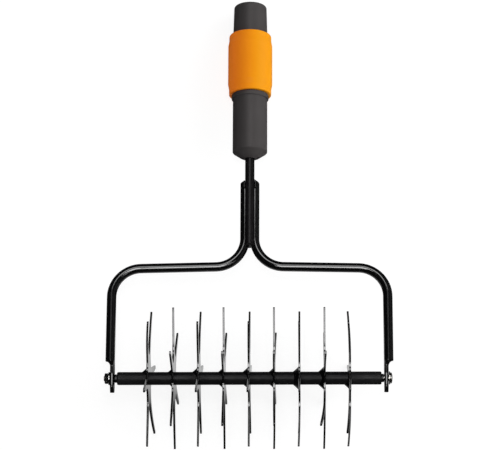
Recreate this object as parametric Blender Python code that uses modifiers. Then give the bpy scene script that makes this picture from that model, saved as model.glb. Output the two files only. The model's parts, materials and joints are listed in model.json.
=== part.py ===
"""Aerator rake head: a yoke of two bent rods carries a roller of nine star wheels, and a neck with a
turning lock collar takes the socket of a long handle. Metres, +Z up. The head lies as it is put down on
the ground, on the tips of its tines and the rims of its neck and collar, with the handle's end at +Y.

The pieces are placed in the tool's own axes, which the empty "tool" holds: X along the roller, Y towards
the handle and Z square to the plane of the yoke, all from the middle of the roller's axis.
"""

import math

import bmesh
import bpy
from mathutils import Vector

# Gaps between pieces
seat_gap = 0.0003
collar_gap = 0.0006

# Rods of the yoke and of the stem
rod_radius = 0.0050
rod_sides = 16
bend_radius = 0.0315
bend_steps = 8
leg_half_span = 0.14615
arm_place = 0.1202
arm_rise = 0.0028
yoke_top = 0.2157
shear_slant = 0.5
stem_foot_below_bend = 0.0103
stem_bare_length = 0.0247
stem_beyond_pin = 0.0080
stem_chamfer = 0.0008

# Flattened eye at the foot of each leg
eye_thickness = 0.0048
eye_end_thickness = 0.0034
eye_half_width = 0.0082
eye_reach = 0.0150
eye_round = 0.0085
eye_round_steps = 6
eye_end_turn = math.radians(80)
eye_squareness = 5.0
press_foot = 0.0120
press_top = 0.0190
press_steps = 6

# Roller: tube, star wheels and the weld that holds each wheel
tube_radius = 0.00685
tube_wall = 0.0013
tube_chamfer = 0.0012
tube_chamfer_depth = 0.0006
tube_steps = 24
wheel_count = 9
wheel_pitch = 0.02633
wheel_reach = 0.0750
wheel_thickness = 0.0020
wheel_stagger = math.radians(30)
tine_count = 6
tine_root_half_width = 0.0074
tine_tip_half_width = 0.0020
tine_corner = 0.0009
valley_reach = 0.0255
valley_steps = 6
corner_steps = 2
weld_length = 0.0058
weld_height = 0.0053
weld_lip = 0.0006
weld_hollow = 0.35
weld_steps = 3

# Axle bolt, and what runs or sits on it
axle_radius = 0.0030
axle_chamfer = 0.0006
axle_steps = 24
bush_nose_wall = 0.0011
bush_nose_length = 0.0025
bush_depth = 0.0120
washer_radius = 0.0068
washer_thickness = 0.0012
nut_across_flats = 0.0100
nut_height = 0.0037
nut_chamfer = 0.0006
bolt_end_proud = 0.0006
head_radius = 0.0057
head_height = 0.0021
head_rim = 0.0008
head_steps = 4

# Neck moulding: sleeve with its foot, flange under the collar, and spigot
sleeve_length = 0.0728
neck_radius = 0.0186
foot_taper = 0.0081
foot_chamfer = 0.0057
foot_boss_wall = 0.0013
foot_boss_height = 0.0017
flange_step = 0.0014
flange_length = 0.0051
flange_chamfer = 0.0009
spigot_length = 0.0345
spigot_taper = 0.00085
spigot_round = 0.0025
round_steps = 3
foot_slot_width = 0.0042
foot_slot_height = 0.0046
foot_slot_wall = 0.0007
foot_slot_depth = 0.0120

# Lock collar
collar_length = 0.0688
collar_wall = 0.0048
collar_rim_wall = 0.0037
collar_rim_length = 0.0062
collar_slope_length = 0.0062
collar_top_round = 0.0016
collar_foot_round = 0.0008

# Retaining ring between the neck and the collar
ring_wire_radius = 0.0007
ring_below_top = 0.0188
ring_opening = math.radians(50)
ring_points = 24

# Pin that holds the neck on the stem
pin_radius = 0.0020
pin_recess = 0.0014
pin_above_collar_foot = 0.0080

# Welds that join the stem to the yoke
crotch_weld_half_size = (0.0056, 0.0046, 0.0062)
crotch_weld_above_stem_foot = 0.0026
crotch_weld_rise = 0.0034
crotch_weld_segments = 20
crotch_weld_rings = 12
top_weld_radius = 0.0012
top_weld_length = 0.0080
top_weld_overrun = 0.0010
top_weld_end_swell = 0.65
top_weld_points = 7

# How far a cutting shape runs past what it cuts
cut_margin = 0.0100
nut_blank_margin = 0.0040

turn_steps = 40
sharp_angle = math.radians(35)
weld_distance = 0.000001

# Places that follow from the sizes above
rod_centre = rod_radius + seat_gap / 2
stem_height = math.sqrt((2 * rod_radius + seat_gap) ** 2 - rod_centre**2)
arm_inner_place = arm_place + arm_rise
stem_foot = arm_inner_place + bend_radius - stem_foot_below_bend
eye_inner_face = leg_half_span - rod_radius
eye_outer_face = eye_inner_face + eye_thickness
washer_face = eye_outer_face + seat_gap
clamp_face = washer_face + washer_thickness + seat_gap
bolt_end = clamp_face + seat_gap + nut_height + bolt_end_proud
bush_nose_end = eye_inner_face - seat_gap
tube_half_length = bush_nose_end - bush_nose_length
neck_foot = yoke_top + stem_bare_length
collar_foot = neck_foot + sleeve_length
collar_top = collar_foot + collar_length
collar_bore = neck_radius + collar_gap
collar_radius = collar_bore + collar_wall
collar_rim_radius = collar_bore + collar_rim_wall
spigot_foot = collar_top + seat_gap
neck_top = spigot_foot + spigot_length
flange_top = collar_foot - seat_gap
flange_foot = flange_top - flange_length
flange_radius = neck_radius + flange_step
ring_place = collar_top - ring_below_top
ring_radius = (neck_radius + collar_bore) / 2
ring_groove = ring_wire_radius + seat_gap
pin_place = collar_foot + pin_above_collar_foot
pin_half_length = neck_radius - pin_recess
stem_end = pin_place + stem_beyond_pin
foot_slot_place = rod_radius + seat_gap + foot_slot_wall + foot_slot_width / 2


def arc(centre, radius, start, end, steps):
    """Points along a circle's arc, both ends included, with its angles in degrees."""
    points = []
    for step in range(steps + 1):
        angle = math.radians(start + (end - start) * step / steps)
        points.append((centre[0] + radius * math.cos(angle), centre[1] + radius * math.sin(angle)))
    return points


def material(name, colour, roughness, metallic=0.0, coat=0.0):
    found = bpy.data.materials.new(name)
    found.use_nodes = True
    shader = found.node_tree.nodes["Principled BSDF"]
    shader.inputs["Base Color"].default_value = (*colour, 1.0)
    shader.inputs["Roughness"].default_value = roughness
    shader.inputs["Metallic"].default_value = metallic
    shader.inputs["Coat Weight"].default_value = coat
    return found


def shaded(mesh):
    """The mesh with smooth faces and sharp corners."""
    mesh.shade_smooth()
    mesh.set_sharp_from_angle(angle=sharp_angle)
    return mesh


def as_mesh(shape):
    """Puts a mesh object, welded and shaded, in the place of an object that has modifiers or is a curve."""
    bpy.context.view_layer.update()
    graph = bpy.context.evaluated_depsgraph_get()
    mesh = bpy.data.meshes.new_from_object(shape.evaluated_get(graph))
    welded = bmesh.new()
    welded.from_mesh(mesh)
    bmesh.ops.remove_doubles(welded, verts=welded.verts, dist=weld_distance)
    welded.to_mesh(mesh)
    welded.free()
    name = shape.name
    matrix = shape.matrix_world.copy()
    bpy.data.objects.remove(shape)
    mesh.name = name
    result = bpy.data.objects.new(name, shaded(mesh))
    result.matrix_world = matrix
    parts.objects.link(result)
    return result


def turned(name, outline, steps=turn_steps, ring=False):
    """A solid turned about Z. The outline's (radius, height) points run down its outer side."""
    count = len(outline)
    edges = [(place, place + 1) for place in range(count - 1)]
    if ring:
        edges.append((count - 1, 0))
    mesh = bpy.data.meshes.new(name)
    mesh.from_pydata([(radius, 0.0, height) for radius, height in outline], edges, [])
    shape = bpy.data.objects.new(name, mesh)
    parts.objects.link(shape)
    screw = shape.modifiers.new("turn", "SCREW")
    screw.steps = steps
    screw.render_steps = steps
    screw.use_merge_vertices = True
    screw.merge_threshold = weld_distance
    return as_mesh(shape)


def cylinder(name, radius, low, high, steps=turn_steps):
    """A cylinder along Z between two heights."""
    return turned(name, [(0.0, high), (radius, high), (radius, low), (0.0, low)], steps)


def box(name, size, place):
    mesh = bpy.data.meshes.new(name)
    cube = bmesh.new()
    bmesh.ops.create_cube(cube, size=1.0)
    bmesh.ops.scale(cube, vec=size, verts=cube.verts)
    bmesh.ops.translate(cube, vec=place, verts=cube.verts)
    cube.to_mesh(mesh)
    cube.free()
    shape = bpy.data.objects.new(name, mesh)
    parts.objects.link(shape)
    return shape


def plate(name, outline, thickness):
    """A flat plate about Z = 0 with the given outline."""
    curve = bpy.data.curves.new(name, "CURVE")
    curve.dimensions = "2D"
    curve.fill_mode = "BOTH"
    curve.extrude = thickness / 2
    spline = curve.splines.new("POLY")
    spline.points.add(len(outline) - 1)
    for point, (x, y) in zip(spline.points, outline):
        point.co = (x, y, 0.0, 1.0)
    spline.use_cyclic_u = True
    shape = bpy.data.objects.new(name, curve)
    parts.objects.link(shape)
    return as_mesh(shape)


def wire(name, points, radius, resolution, swell=None):
    """A round wire through the points, thicker or thinner at each as swell says."""
    curve = bpy.data.curves.new(name, "CURVE")
    curve.dimensions = "3D"
    curve.bevel_depth = radius
    curve.bevel_resolution = resolution
    curve.use_fill_caps = True
    spline = curve.splines.new("POLY")
    spline.points.add(len(points) - 1)
    for place, (point, co) in enumerate(zip(spline.points, points)):
        point.co = (*co, 1.0)
        point.radius = swell[place] if swell else 1.0
    shape = bpy.data.objects.new(name, curve)
    parts.objects.link(shape)
    return as_mesh(shape)


def loft(name, sections):
    """A solid through rings of as many points each."""
    solid = bmesh.new()
    rings = [[solid.verts.new(point) for point in section] for section in sections]
    for ring, following in zip(rings, rings[1:]):
        for side in range(len(ring)):
            beside = (side + 1) % len(ring)
            solid.faces.new((ring[side], ring[beside], following[beside], following[side]))
    solid.faces.new(rings[0])
    solid.faces.new(rings[-1])
    bmesh.ops.recalc_face_normals(solid, faces=solid.faces)
    mesh = bpy.data.meshes.new(name)
    solid.to_mesh(mesh)
    solid.free()
    shape = bpy.data.objects.new(name, shaded(mesh))
    parts.objects.link(shape)
    return shape


def use_as_cutter(shape):
    """Moves the object to the cutters, where it shows only as a wire."""
    parts.objects.unlink(shape)
    cutters.objects.link(shape)
    shape.hide_render = True
    shape.display_type = "WIRE"


def combine(shape, other, operation="DIFFERENCE"):
    use_as_cutter(other)
    boolean = shape.modifiers.new(other.name, "BOOLEAN")
    boolean.operation = operation
    boolean.solver = "EXACT"
    boolean.object = other


def finish(shape, paint, parent, location=(0.0, 0.0, 0.0), turn=(0.0, 0.0, 0.0)):
    """Gives a piece its material and its place on what carries it."""
    shape.data.materials.clear()
    shape.data.materials.append(paint)
    shape.parent = parent
    shape.location = location
    shape.rotation_mode = "ZYX"
    shape.rotation_euler = turn
    return shape


def empty(name, parent=None, location=(0.0, 0.0, 0.0), turn=(0.0, 0.0, 0.0)):
    holder = bpy.data.objects.new(name, None)
    parts.objects.link(holder)
    holder.parent = parent
    holder.location = location
    holder.rotation_euler = turn
    return holder


def star_outline():
    """The wheel's outline: straight tapered tines with round valleys between them."""
    slope = (tine_root_half_width - tine_tip_half_width) / wheel_reach
    lean = math.atan(slope)
    half_pitch = math.pi / tine_count
    # The valley's circle lies on the line between two tines and touches their sides.
    across = math.sin(half_pitch) + slope * math.cos(half_pitch)
    stretch = math.hypot(1.0, slope)
    valley_centre = (valley_reach * stretch - tine_root_half_width) / (stretch - across)
    valley_radius = valley_centre - valley_reach
    corner_place = wheel_reach - tine_corner
    corner_side = tine_tip_half_width - tine_corner
    lean_degrees = math.degrees(lean)
    pitch_degrees = 360 / tine_count
    tine = arc((corner_place, -corner_side), tine_corner, lean_degrees - 90, 0, corner_steps)
    tine += arc((corner_place, corner_side), tine_corner, 0, 90 - lean_degrees, corner_steps)
    valley_middle = (valley_centre * math.cos(half_pitch), valley_centre * math.sin(half_pitch))
    first = 270 - lean_degrees
    last = 90 + pitch_degrees + lean_degrees
    tine += arc(valley_middle, valley_radius, first, last, valley_steps)
    outline = []
    for count in range(tine_count):
        turn = 2 * half_pitch * count
        for x, y in tine:
            turned_x = x * math.cos(turn) - y * math.sin(turn)
            turned_y = x * math.sin(turn) + y * math.cos(turn)
            outline.append((turned_x, turned_y))
    return outline


def wheel_height():
    """The axle's height over the ground when two rows of tines stand on it, half a stagger to each side."""
    half = wheel_stagger / 2
    tip = star_outline()[: 2 * (corner_steps + 1)]
    return max(x * math.cos(half) + abs(y) * math.sin(half) for x, y in tip)


def neck_outline():
    outline = [(0.0, neck_top)]
    tip_centre = (neck_radius - spigot_taper - spigot_round, neck_top - spigot_round)
    outline += arc(tip_centre, spigot_round, 90, 0, round_steps)
    outline += [(neck_radius, spigot_foot)]
    groove_floor = ring_radius - ring_groove
    outline += [(neck_radius, ring_place + ring_groove), (groove_floor, ring_place + ring_groove)]
    outline += [(groove_floor, ring_place - ring_groove), (neck_radius, ring_place - ring_groove)]
    outline += [(neck_radius, flange_top), (flange_radius, flange_top)]
    outline += [(flange_radius, flange_foot + flange_chamfer)]
    outline += [(flange_radius - flange_chamfer, flange_foot), (neck_radius, flange_foot)]
    boss_foot = neck_foot + foot_boss_height
    outline += [(neck_radius, boss_foot + foot_chamfer), (neck_radius - foot_taper, boss_foot)]
    outline += [(rod_radius + seat_gap + foot_boss_wall, neck_foot), (0.0, neck_foot)]
    return outline


def collar_outline():
    rim = collar_rim_radius
    outline = [(collar_bore, collar_top)]
    top_centre = (rim - collar_top_round, collar_top - collar_top_round)
    outline += arc(top_centre, collar_top_round, 90, 0, round_steps)
    outline += [(rim, collar_top - collar_rim_length)]
    outline += [(collar_radius, collar_top - collar_rim_length - collar_slope_length)]
    outline += [(collar_radius, collar_foot + collar_rim_length + collar_slope_length)]
    outline += [(rim, collar_foot + collar_rim_length)]
    foot_centre = (rim - collar_foot_round, collar_foot + collar_foot_round)
    outline += arc(foot_centre, collar_foot_round, 0, -90, round_steps)
    outline += [(collar_bore, collar_foot)]
    groove_roof = ring_radius + ring_groove
    outline += [(collar_bore, ring_place - ring_groove), (groove_roof, ring_place - ring_groove)]
    outline += [(groove_roof, ring_place + ring_groove), (collar_bore, ring_place + ring_groove)]
    return outline


def lying_tilt(axle_height):
    """The slope at which the neck or the collar first meets the ground beyond the wheels."""
    tilts = []
    for radius, place in neck_outline() + collar_outline():
        side = stem_height - radius
        tilts.append(math.asin(axle_height / math.hypot(place, side)) + math.atan2(side, place))
    return min(tilts)


def yoke_path(side):
    """(place, direction) pairs along a yoke rod's centre line, from the top of its eye to its sheared top."""
    corners = [
        Vector((side * leg_half_span, press_top)),
        Vector((side * leg_half_span, arm_place)),
        Vector((side * rod_centre, arm_inner_place)),
        Vector((side * rod_centre, yoke_top)),
    ]
    path = [(corners[0], (corners[1] - corners[0]).normalized())]
    for before, corner, after in zip(corners, corners[1:], corners[2:]):
        coming = (corner - before).normalized()
        going = (after - corner).normalized()
        turn = coming.angle_signed(going)
        start = corner - coming * bend_radius * math.tan(abs(turn) / 2)
        sideways = Vector((coming.y, -coming.x)) * math.copysign(1.0, turn)
        centre = start + sideways * bend_radius
        for step in range(bend_steps + 1):
            angle = abs(turn) * step / bend_steps
            spoke = sideways * -math.cos(angle) + coming * math.sin(angle)
            along = coming * math.cos(angle) + sideways * math.sin(angle)
            path.append((centre + spoke * bend_radius, along))
    path.append((corners[-1], (corners[-1] - corners[-2]).normalized()))
    return path


def section(centre, along, half_across, half_deep, squareness=2.0, slant=0.0):
    """A ring of points: an ellipse at squareness 2, and nearer to a rectangle above that."""
    across = Vector((along.y, -along.x))
    ring = []
    for count in range(rod_sides):
        angle = 2 * math.pi * count / rod_sides
        wide = math.copysign(abs(math.cos(angle)) ** (2 / squareness), math.cos(angle))
        deep = math.copysign(abs(math.sin(angle)) ** (2 / squareness), math.sin(angle))
        point = centre + (across + along * slant) * half_across * wide
        ring.append((point.x, point.y, half_deep * deep))
    return ring


def eye_sections(side):
    """Rings of the pressed eye, from its end up to where the rod is round. Its inner face stays flat."""
    upward = Vector((0.0, 1.0))
    rings = []

    def add(place, thickness, half_width, squareness):
        centre = Vector((side * (eye_inner_face + thickness / 2), place))
        rings.append(section(centre, upward, thickness / 2, half_width, squareness))

    for step in range(eye_round_steps):
        angle = eye_end_turn * (1 - step / eye_round_steps)
        place = -eye_reach + eye_round * (1 - math.sin(angle))
        share = (place + eye_reach) / eye_reach
        thickness = eye_end_thickness + (eye_thickness - eye_end_thickness) * share
        add(place, thickness, eye_half_width * math.cos(angle), eye_squareness)
    add(eye_round - eye_reach, eye_thickness, eye_half_width, eye_squareness)
    for step in range(press_steps):
        share = step / press_steps
        easing = share * share
        place = press_foot + (press_top - press_foot) * share
        thickness = eye_thickness + (2 * rod_radius - eye_thickness) * easing
        half_width = eye_half_width + (rod_radius - eye_half_width) * easing
        add(place, thickness, half_width, eye_squareness + (2.0 - eye_squareness) * easing)
    return rings


def make_yoke_rod(name, side, grow=0.0):
    """A yoke rod, or with some growth the shape that clears it."""
    radius = rod_radius + grow
    path = yoke_path(side)
    round_sections = []
    for place, along in path[:-1]:
        round_sections.append(section(place, along, radius, radius))
    # The sheared top's outer corner lies at the yoke's top, and its inner corner stands above that.
    end, along = path[-1]
    middle = end + along * rod_radius * shear_slant
    round_sections.append(section(middle, along, radius, radius, slant=-side * shear_slant))
    if grow:
        return loft(name, round_sections)
    rod = loft(name, eye_sections(side) + round_sections)
    through = rod_radius + cut_margin
    hole = cylinder(name + "_hole", axle_radius + seat_gap, -through, through, axle_steps)
    finish(hole, zinc, tool, (side * leg_half_span, 0.0, 0.0), (0.0, math.pi / 2, 0.0))
    combine(rod, hole)
    return finish(rod, black_paint, tool)


def make_stem():
    narrow = rod_radius - stem_chamfer
    outline = [(0.0, stem_end), (narrow, stem_end), (rod_radius, stem_end - stem_chamfer)]
    outline += [(rod_radius, stem_foot + stem_chamfer), (narrow, stem_foot), (0.0, stem_foot)]
    finish(turned("stem_rod", outline, rod_sides), black_paint, neck_axis)


def make_crotch_weld():
    """The weld between the two rods and under the stem's foot, cut clear of all three."""
    mesh = bpy.data.meshes.new("crotch_weld")
    blob = bmesh.new()
    bmesh.ops.create_uvsphere(
        blob, u_segments=crotch_weld_segments, v_segments=crotch_weld_rings, radius=1.0
    )
    bmesh.ops.scale(blob, vec=crotch_weld_half_size, verts=blob.verts)
    place = (0.0, stem_foot + crotch_weld_above_stem_foot, crotch_weld_rise)
    bmesh.ops.translate(blob, vec=place, verts=blob.verts)
    blob.to_mesh(mesh)
    blob.free()
    weld = bpy.data.objects.new("crotch_weld", shaded(mesh))
    parts.objects.link(weld)
    finish(weld, black_paint, tool)
    for side, name in ((-1, "left"), (1, "right")):
        clear = make_yoke_rod("yoke_clearance_" + name, side, seat_gap)
        finish(clear, black_paint, tool)
        combine(weld, clear)
    above = cylinder("stem_clearance", rod_radius + seat_gap, stem_foot - seat_gap, stem_end, rod_sides)
    finish(above, black_paint, neck_axis)
    combine(weld, above)


def make_top_weld(name, side):
    """A short bead in the groove between the stem and one side of the yoke, at the yoke's top."""
    reach = math.sqrt((rod_radius + seat_gap + top_weld_radius) ** 2 - rod_centre**2)
    apart = 2 * rod_centre
    x = rod_centre / 2 + reach * stem_height / apart
    z = stem_height / 2 + reach * rod_centre / apart
    points = []
    swell = []
    for count in range(top_weld_points):
        share = count / (top_weld_points - 1)
        points.append((side * x, yoke_top + top_weld_overrun - top_weld_length * share, z))
        swell.append(1 - (1 - top_weld_end_swell) * (2 * share - 1) ** 2)
    finish(wire(name, points, top_weld_radius, 1, swell), black_paint, tool)


def make_tube():
    bore = tube_radius - tube_wall
    half = tube_half_length
    narrow = tube_radius - tube_chamfer_depth
    outline = [(bore, half), (narrow, half), (tube_radius, half - tube_chamfer)]
    outline += [(tube_radius, tube_chamfer - half), (narrow, -half), (bore, -half)]
    tube = turned("roller_tube", outline, tube_steps, ring=True)
    finish(tube, black_paint, roller_axis, turn=(0.0, math.pi / 2, 0.0))


def make_wheels(tilt):
    """Star wheels, each with its weld on the left, standing by turns on the tines before and behind."""
    star = plate("star", star_outline(), wheel_thickness)
    low = wheel_thickness / 2
    high = low + weld_length
    thin = tube_radius + seat_gap + weld_lip
    thick = tube_radius + weld_height
    outline = [(0.0, high)]
    for step in range(weld_steps + 1):
        share = step / weld_steps
        pull = 2 * weld_hollow * share * (1 - share)
        radius = thin + (thick - thin) * (share - pull)
        outline.append((radius, high - (high - low) * (share + pull)))
    outline += [(thick, 0.0), (0.0, 0.0)]
    combine(star, turned("wheel_weld", outline, tube_steps), "UNION")
    through = high + cut_margin
    combine(star, cylinder("wheel_bore", tube_radius + seat_gap, -through, through, tube_steps))
    wheel = as_mesh(star)
    shape = wheel.data
    bpy.data.objects.remove(wheel)
    for count in range(wheel_count):
        place = (count - (wheel_count - 1) / 2) * wheel_pitch
        lean = wheel_stagger / 2 if count % 2 == 0 else -wheel_stagger / 2
        found = bpy.data.objects.new("tine_wheel_%d" % (count + 1), shape)
        parts.objects.link(found)
        finish(found, black_paint, roller_axis, (place, 0.0, 0.0), (lean + tilt, -math.pi / 2, 0.0))


def make_bush(name, side):
    """A bush whose body fills the tube's end and whose nose spaces the tube from the eye."""
    bore = axle_radius + seat_gap
    body = tube_radius - tube_wall - seat_gap
    nose = bore + bush_nose_wall
    outline = [(bore, bush_nose_end), (nose, bush_nose_end), (nose, tube_half_length)]
    outline += [(body, tube_half_length), (body, tube_half_length - bush_depth)]
    outline += [(bore, tube_half_length - bush_depth)]
    bush = turned(name, outline, tube_steps, ring=True)
    finish(bush, dark_plastic, roller_axis, turn=(0.0, side * math.pi / 2, 0.0))


def make_axle_bolt():
    """The through bolt: its low domed head on the right, its plain end in the nut on the left."""
    head_end = clamp_face + head_height
    outline = [(0.0, head_end)]
    for step in range(1, head_steps + 1):
        angle = math.pi / 2 * step / head_steps
        height = clamp_face + head_rim + (head_height - head_rim) * math.cos(angle)
        outline.append((head_radius * math.sin(angle), height))
    outline += [(head_radius, clamp_face), (axle_radius, clamp_face)]
    outline += [(axle_radius, axle_chamfer - bolt_end), (axle_radius - axle_chamfer, -bolt_end)]
    outline += [(0.0, -bolt_end)]
    finish(turned("axle_bolt", outline, axle_steps), zinc, tool, turn=(0.0, math.pi / 2, 0.0))


def make_nut():
    """A hexagon nut with a chamfer at both faces."""
    corner = nut_across_flats / math.sqrt(3)
    low = clamp_face
    high = clamp_face + nut_height
    nut = cylinder("axle_nut", corner, low - nut_blank_margin, high + nut_blank_margin, 6)
    flat = nut_across_flats / 2
    outline = [(0.0, high), (flat, high), (corner + nut_chamfer, high - nut_chamfer)]
    outline += [(corner + nut_chamfer, low + nut_chamfer), (flat, low), (0.0, low)]
    rounding = turned("nut_rounding", outline, turn_steps)
    bore = axle_radius + seat_gap
    hole = cylinder("nut_hole", bore, low - cut_margin, high + cut_margin, axle_steps)
    for shape in (nut, rounding, hole):
        finish(shape, zinc, tool, turn=(0.0, -math.pi / 2, 0.0))
    combine(nut, rounding, "INTERSECT")
    combine(nut, hole)


def make_washer(name, side):
    outline = [(axle_radius + seat_gap, washer_face + washer_thickness)]
    outline += [(washer_radius, washer_face + washer_thickness), (washer_radius, washer_face)]
    outline += [(axle_radius + seat_gap, washer_face)]
    washer = turned(name, outline, tube_steps, ring=True)
    finish(washer, zinc, tool, turn=(0.0, side * math.pi / 2, 0.0))


def make_neck():
    """The moulded neck with the stem's bore, the pin's hole and the two slots in its foot."""
    neck = finish(turned("neck", neck_outline()), dark_plastic, neck_axis)
    bore_radius = rod_radius + seat_gap
    bore = cylinder("stem_bore", bore_radius, neck_foot - cut_margin, stem_end + seat_gap, rod_sides)
    finish(bore, dark_plastic, neck_axis)
    combine(neck, bore)
    through = neck_radius + cut_margin
    hole = cylinder("pin_hole", pin_radius + seat_gap, -through, through, axle_steps)
    finish(hole, dark_plastic, neck_axis, (0.0, 0.0, pin_place), (0.0, math.pi / 2, 0.0))
    combine(neck, hole)
    slot_size = (foot_slot_width, foot_slot_height, foot_slot_depth * 2)
    for side, name in ((-1, "left"), (1, "right")):
        slot = box("foot_slot_" + name, slot_size, (side * foot_slot_place, 0.0, neck_foot))
        finish(slot, dark_plastic, neck_axis)
        combine(neck, slot)


def make_pin():
    """The pin lies across the neck and the stem, which is drilled for it, and the collar hides its ends."""
    pin = cylinder("neck_pin", pin_radius, -pin_half_length, pin_half_length, axle_steps)
    finish(pin, zinc, neck_axis, (0.0, 0.0, pin_place), (0.0, math.pi / 2, 0.0))
    stem = bpy.data.objects["stem_rod"]
    through = rod_radius + cut_margin
    hole = cylinder("stem_pin_hole", pin_radius + seat_gap, -through, through, axle_steps)
    finish(hole, zinc, neck_axis, (0.0, 0.0, pin_place), (0.0, math.pi / 2, 0.0))
    combine(stem, hole)


def make_collar():
    finish(turned("lock_collar", collar_outline(), ring=True), orange_plastic, neck_axis)


def make_retaining_ring():
    """An open wire ring, half in the neck's groove and half in the collar's."""
    points = []
    for count in range(ring_points):
        angle = ring_opening / 2 + (2 * math.pi - ring_opening) * count / (ring_points - 1)
        points.append((ring_radius * math.cos(angle), ring_radius * math.sin(angle), 0.0))
    ring = wire("retaining_ring", points, ring_wire_radius, 1)
    finish(ring, zinc, neck_axis, (0.0, 0.0, ring_place))


def put_on_ground():
    """Moves the tool so that its box stands on Z = 0 with its middle over the origin."""
    bpy.context.view_layer.update()
    graph = bpy.context.evaluated_depsgraph_get()
    corners = []
    for shape in parts.objects:
        if shape.type != "MESH":
            continue
        found = shape.evaluated_get(graph)
        corners += [found.matrix_world @ vertex.co for vertex in found.data.vertices]
    low = [min(corner[axis] for corner in corners) for axis in range(3)]
    high = [max(corner[axis] for corner in corners) for axis in range(3)]
    tool.location = (-(low[0] + high[0]) / 2, -(low[1] + high[1]) / 2, -low[2])


for leftover in list(bpy.data.objects):
    bpy.data.objects.remove(leftover)
parts = bpy.data.collections.new("aerator_rake_head")
cutters = bpy.data.collections.new("cutters")
bpy.context.scene.collection.children.link(parts)
bpy.context.scene.collection.children.link(cutters)

black_paint = material("black_paint", (0.012, 0.012, 0.013), 0.28, coat=0.5)
dark_plastic = material("dark_plastic", (0.052, 0.048, 0.049), 0.55)
orange_plastic = material("orange_plastic", (0.85, 0.25, 0.012), 0.42)
zinc = material("zinc_plated_steel", (0.62, 0.62, 0.60), 0.32, metallic=1.0)

tilt = lying_tilt(wheel_height())
tool = empty("tool", turn=(-tilt, 0.0, 0.0))
roller_axis = empty("roller_axis", tool)
neck_axis = empty("neck_axis", tool, (0.0, 0.0, stem_height), (-math.pi / 2, 0.0, 0.0))

make_yoke_rod("yoke_rod_left", -1)
make_yoke_rod("yoke_rod_right", 1)
make_stem()
make_crotch_weld()
make_top_weld("top_weld_left", -1)
make_top_weld("top_weld_right", 1)
make_tube()
make_wheels(tilt)
make_bush("end_bush_left", -1)
make_bush("end_bush_right", 1)
make_axle_bolt()
make_nut()
make_washer("washer_left", -1)
make_washer("washer_right", 1)
make_neck()
make_pin()
make_collar()
make_retaining_ring()
put_on_ground()
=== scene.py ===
"""The looks of the aerator rake head. Each piece that shows is modelled finely, in its place in the frame."""

import json
import math
import random

import bmesh
import bpy
from mathutils import Matrix, Vector, noise


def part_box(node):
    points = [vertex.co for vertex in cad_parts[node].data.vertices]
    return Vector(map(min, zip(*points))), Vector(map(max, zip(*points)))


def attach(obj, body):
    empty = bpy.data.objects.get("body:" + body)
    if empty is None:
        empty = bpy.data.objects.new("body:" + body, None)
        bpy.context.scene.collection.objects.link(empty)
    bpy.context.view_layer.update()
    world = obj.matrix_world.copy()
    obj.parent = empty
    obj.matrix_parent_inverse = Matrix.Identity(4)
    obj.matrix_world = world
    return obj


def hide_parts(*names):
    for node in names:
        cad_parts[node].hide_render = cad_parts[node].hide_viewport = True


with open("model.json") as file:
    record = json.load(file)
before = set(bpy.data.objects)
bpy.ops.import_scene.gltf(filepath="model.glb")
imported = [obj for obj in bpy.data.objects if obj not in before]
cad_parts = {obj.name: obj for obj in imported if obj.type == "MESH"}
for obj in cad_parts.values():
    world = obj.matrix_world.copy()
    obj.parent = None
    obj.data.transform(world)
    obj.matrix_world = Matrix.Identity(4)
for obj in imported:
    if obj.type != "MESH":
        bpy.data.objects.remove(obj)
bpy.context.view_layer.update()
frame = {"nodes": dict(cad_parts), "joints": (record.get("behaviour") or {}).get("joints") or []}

# Camera and lamps, in the frame
camera_place = Vector((0.0641, -0.4203, 2.6300))
camera_aim = Vector((0.0009, -0.0052, 0.0500))
camera_lens = 176.4
lamp_aim = Vector((0.0, 0.0, 0.05))
front_lamp = {"place": (0.05, -0.02, 3.10), "size": (0.72, 1.2), "radiance": 8.5}
under_lamp = {"place": (0.0, 0.3, -2.60), "size": (3.0, 3.0), "radiance": 1.0}

# Sky. Matt surfaces see a broad light at the right, and mirrors see strips of light overhead. The ranges are
# of a direction's part along an axis. Of four numbers, a strip is full between the middle two.
key_direction = Vector((0.97, 0.12, 0.22)).normalized()
key_edge = 0.60
soft_light = {"base": 0.40, "key": 2.72}
mirrored_light = {"base": 0.012, "right": 0.08, "faint": 0.36, "strip": 5.0, "overhead": 6.5}
right_side = (0.35, 0.75)
above_horizon = (0.0, 0.1)
strip_along_y = (0.33, 0.40, 0.60, 0.70)
strip_bright_from = (0.445, 0.475)
strip_half_width = (0.18, 0.30)
overhead_along_y = (-0.31, -0.28, -0.24, -0.21)
overhead_along_x = (-0.25, -0.19, 0.35, 0.60)

# Floor. Mirrors see it glow white under the wheels only, a painted reflection on the wheels' faces, and
# greyer in front of the roller, a painted shadow.
floor_half = 14.0
floor_glow = 0.82
floor_colour = 0.26
floor_bounce = 0.75
floor_mirrored = {"plain": 0.02, "upper": 0.62, "lower": 0.22}
painted_reflection_across = (0.114, 0.124)
painted_reflection_along = (0.070, 0.095)
painted_shadow_from_axle = (-0.020, 0.010)

# Finishes: scales of the noise in them, and the middle part of the noise's range, where most of it lies
noise_middle = (0.3, 0.7)
paint_scale = {"dust": 160.0, "gloss": 55.0, "ripple": 330.0, "grain": 2600.0}
paint_dust = (0.42, 0.75)
plastic_scale = {"shade": 38.0, "gloss": 900.0, "wave": 90.0, "grain": 2300.0}
# Painted shade on the plastics: over this span of X their colour turns towards the darker left colour at -X
painted_shade_span_x = (-0.016, 0.010)
zinc_scale = {"patches": 260.0, "gloss": 1400.0, "marks": 900.0, "grain": 3000.0}
zinc_patches = (0.35, 0.65)
zinc_colours = ((0.36, 0.36, 0.37), (0.44, 0.42, 0.38))
zinc_rough = (0.12, 0.26)
zinc_mark_depth = 0.00002
zinc_grain_depth = 0.00001

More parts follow.
